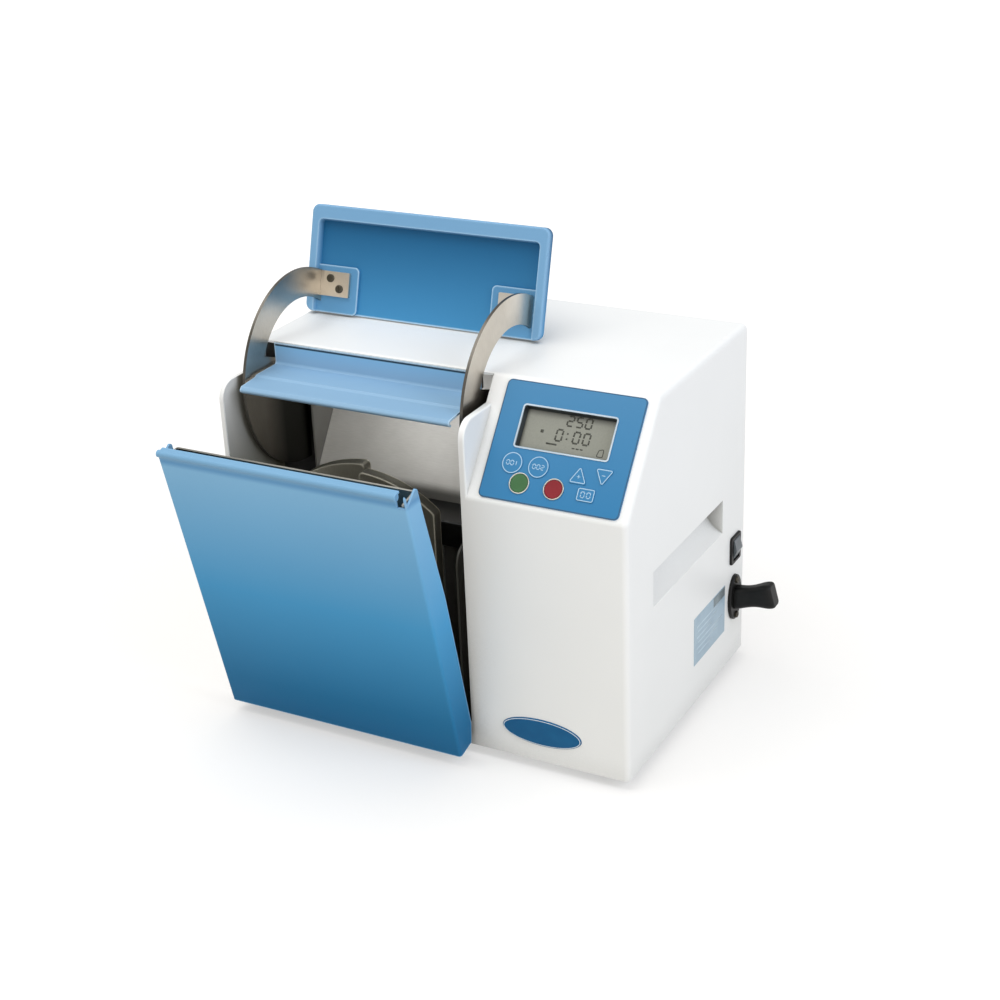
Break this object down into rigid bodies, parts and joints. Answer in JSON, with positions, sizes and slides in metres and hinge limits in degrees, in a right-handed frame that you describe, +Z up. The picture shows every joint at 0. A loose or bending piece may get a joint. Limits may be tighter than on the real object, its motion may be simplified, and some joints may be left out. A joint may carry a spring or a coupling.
{
  "type": "paddle blender homogenizer",
  "caption": "Bench-top blender that homogenizes a sample in a bag: folding blue door and lid, reciprocating paddles, white housing with a sloped control panel.",
  "frame": {"origin": "middle of the whole part's outer box at bench level, with the lid and the door open, at the feet's lower faces", "axes": "+Z up; +X to the user's right, towards the side with the mains inlet; +Y towards the back, so the door and the control face look along -Y"},
  "size_m": [0.4774, 0.3968, 0.4751],
  "materials": {
    "white_paint": "satin",
    "blue_paint": "satin",
    "stainless_steel": "brushed",
    "bright_steel": "polished",
    "zinc_steel": "zinc plated",
    "rubber": "matte",
    "black_plastic": "matte",
    "grey_plastic": "satin",
    "panel_film": "satin film",
    "silver_bezel": "satin",
    "display": "gloss",
    "circuit_board": "matte",
    "white_key": "satin",
    "green_key": "gloss",
    "red_key": "gloss",
    "badge_blue": "gloss",
    "rating_label": "satin film",
    "cast_iron": "painted",
    "aluminium": "machined",
    "rotor_steel": "machined",
    "motor_paint": "satin",
    "brass": "bright"
  },
  "bodies": {
    "frame": {"badge_plate": "badge_blue", "base_plate": "zinc_steel", "chamber_liner": "stainless_steel", "control_board": "circuit_board", "crank_bearings": "bright_steel", "display_frame": "silver_bezel", "display_glass": "display", "door_bracket_left": "zinc_steel", "door_bracket_right": "zinc_steel", "door_pin": "bright_steel", "drive_belt": "rubber", "foot_front_left": "rubber", "foot_front_right": "rubber", "foot_rear_left": "rubber", "foot_rear_right": "rubber", "foot_screws": "bright_steel", "front_ledge": "blue_paint", "guide_block_left": "black_plastic", "guide_block_right": "black_plastic", "guide_bracket_left": "stainless_steel", "guide_bracket_right": "stainless_steel", "housing": "white_paint", "inlet_pins": "brass", "inlet_screws": "bright_steel", "inlet_socket": "black_plastic", "keypad_panel": "panel_film", "lid_bearing_left": "black_plastic", "lid_bearing_right": "black_plastic", "motor": "motor_paint", "motor_bracket": "zinc_steel", "pedestal_left": "cast_iron", "pedestal_right": "cast_iron", "power_supply_board": "circuit_board", "rating_plate": "rating_label", "rear_cover": "white_paint", "rear_cover_screws": "bright_steel", "switch_bezel": "black_plastic"},
    "lid": {"lid_panel": "blue_paint", "lid_arm_left": "stainless_steel", "lid_arm_right": "stainless_steel", "lid_arm_screws": "bright_steel", "lid_shaft": "bright_steel"},
    "door": {"door_panel": "blue_paint", "door_backing": "stainless_steel"},
    "rocker": {"switch_rocker": "grey_plastic"},
    "connector": {"mains_connector": "black_plastic"},
    "rotor": {"motor_rotor": "rotor_steel"},
    "crank": {"crankshaft": "bright_steel", "driven_pulley": "aluminium"},
    "right_paddle": {"paddle_right": "stainless_steel", "push_rod_right": "bright_steel"},
    "left_paddle": {"paddle_left": "stainless_steel", "push_rod_left": "bright_steel"},
    "key_program": {"key_program": "white_key"},
    "key_speed": {"key_speed": "white_key"},
    "key_start": {"key_start": "green_key"},
    "key_stop": {"key_stop": "red_key"},
    "key_up": {"key_up": "white_key"},
    "key_down": {"key_down": "white_key"},
    "key_set": {"key_set": "white_key"}
  },
  "joints": [
    {"name": "lid_hinge", "type": "hinge", "parent": "frame", "child": "lid", "pos_m": [-0.10375, 0.0206, 0.3207], "axis": [1, 0, 0], "range_deg": [0, 106]},
    {"name": "door_hinge", "type": "hinge", "parent": "frame", "child": "door", "pos_m": [-0.10375, -0.1116, 0.028], "axis": [-1, 0, 0], "range_deg": [0, 13.4]},
    {"name": "power_rocker", "type": "hinge", "parent": "frame", "child": "rocker", "pos_m": [0.19125, 0.1684, 0.136], "axis": [0, -1, 0], "range_deg": [0, 12]},
    {"name": "connector_pull", "type": "slide", "parent": "frame", "child": "connector", "axis": [1, 0, 0], "range_m": [0, 0.025]},
    {"name": "crank_turn", "type": "hinge", "parent": "frame", "child": "crank", "pos_m": [-0.10375, 0.0894, 0.186], "axis": [1, 0, 0], "continuous": true},
    {"name": "motor_turn", "type": "hinge", "parent": "frame", "child": "rotor", "pos_m": [-0.10375, 0.1394, 0.08], "axis": [1, 0, 0], "continuous": true},
    {"name": "right_paddle_slide", "type": "slide", "parent": "frame", "child": "right_paddle", "axis": [0, 1, 0], "range_m": [0, 0.018]},
    {"name": "left_paddle_slide", "type": "slide", "parent": "frame", "child": "left_paddle", "axis": [0, 1, 0], "range_m": [-0.018, 0]},
    {"name": "key_program_press", "type": "slide", "parent": "frame", "child": "key_program", "axis": [0, 0.7889, -0.6145], "range_m": [0, 0.0005], "stiffness_N_per_m": 800, "springref_m": -0.0003},
    {"name": "key_speed_press", "type": "slide", "parent": "frame", "child": "key_speed", "axis": [0, 0.7889, -0.6145], "range_m": [0, 0.0005], "stiffness_N_per_m": 800, "springref_m": -0.0003},
    {"name": "key_start_press", "type": "slide", "parent": "frame", "child": "key_start", "axis": [0, 0.7889, -0.6145], "range_m": [0, 0.0005], "stiffness_N_per_m": 800, "springref_m": -0.0003},
    {"name": "key_stop_press", "type": "slide", "parent": "frame", "child": "key_stop", "axis": [0, 0.7889, -0.6145], "range_m": [0, 0.0005], "stiffness_N_per_m": 800, "springref_m": -0.0003},
    {"name": "key_up_press", "type": "slide", "parent": "frame", "child": "key_up", "axis": [0, 0.7889, -0.6145], "range_m": [0, 0.0005], "stiffness_N_per_m": 800, "springref_m": -0.0003},
    {"name": "key_down_press", "type": "slide", "parent": "frame", "child": "key_down", "axis": [0, 0.7889, -0.6145], "range_m": [0, 0.0005], "stiffness_N_per_m": 800, "springref_m": -0.0003},
    {"name": "key_set_press", "type": "slide", "parent": "frame", "child": "key_set", "axis": [0, 0.7889, -0.6145], "range_m": [0, 0.0005], "stiffness_N_per_m": 800, "springref_m": -0.0003}
  ],
  "couplings": [
    {"joint": "motor_turn", "follows": "crank_turn", "ratio": 2},
    {"joint": "left_paddle_slide", "follows": "right_paddle_slide", "ratio": -1}
  ]
}
